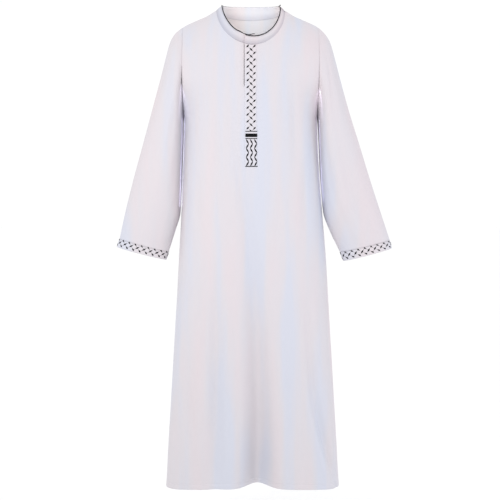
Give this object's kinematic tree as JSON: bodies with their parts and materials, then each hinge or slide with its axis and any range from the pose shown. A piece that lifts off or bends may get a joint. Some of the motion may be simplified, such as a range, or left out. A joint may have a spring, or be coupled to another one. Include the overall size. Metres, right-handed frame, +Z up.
{
  "type": "thobe robe",
  "caption": "Long white thobe robe, hollow and worn: stand collar, lapped neck strip with woven-net embroidery, set-in sleeves with embroidered wrist bands.",
  "frame": {"origin": "middle of the neck, at the height where the shoulder seams meet the collar", "axes": "+Z up along the wearer's spine, -Y to the front, +X to the wearer's left"},
  "size_m": [0.8193, 0.2877, 1.4302],
  "materials": {
    "white_cotton": "matt fine plain weave with a faint sheen",
    "embroidered_cotton": "fine plain weave with black machine embroidery",
    "dark_piping": "matt dark cord piping"
  },
  "bodies": {
    "root": {"front_panel": "white_cotton", "back_panel": "white_cotton", "sleeve_right": "white_cotton", "sleeve_left": "white_cotton", "cuff_right": "embroidered_cotton", "cuff_left": "embroidered_cotton", "collar_band": "white_cotton", "collar_piping": "dark_piping", "placket_strip": "embroidered_cotton"}
  },
  "joints": []
}
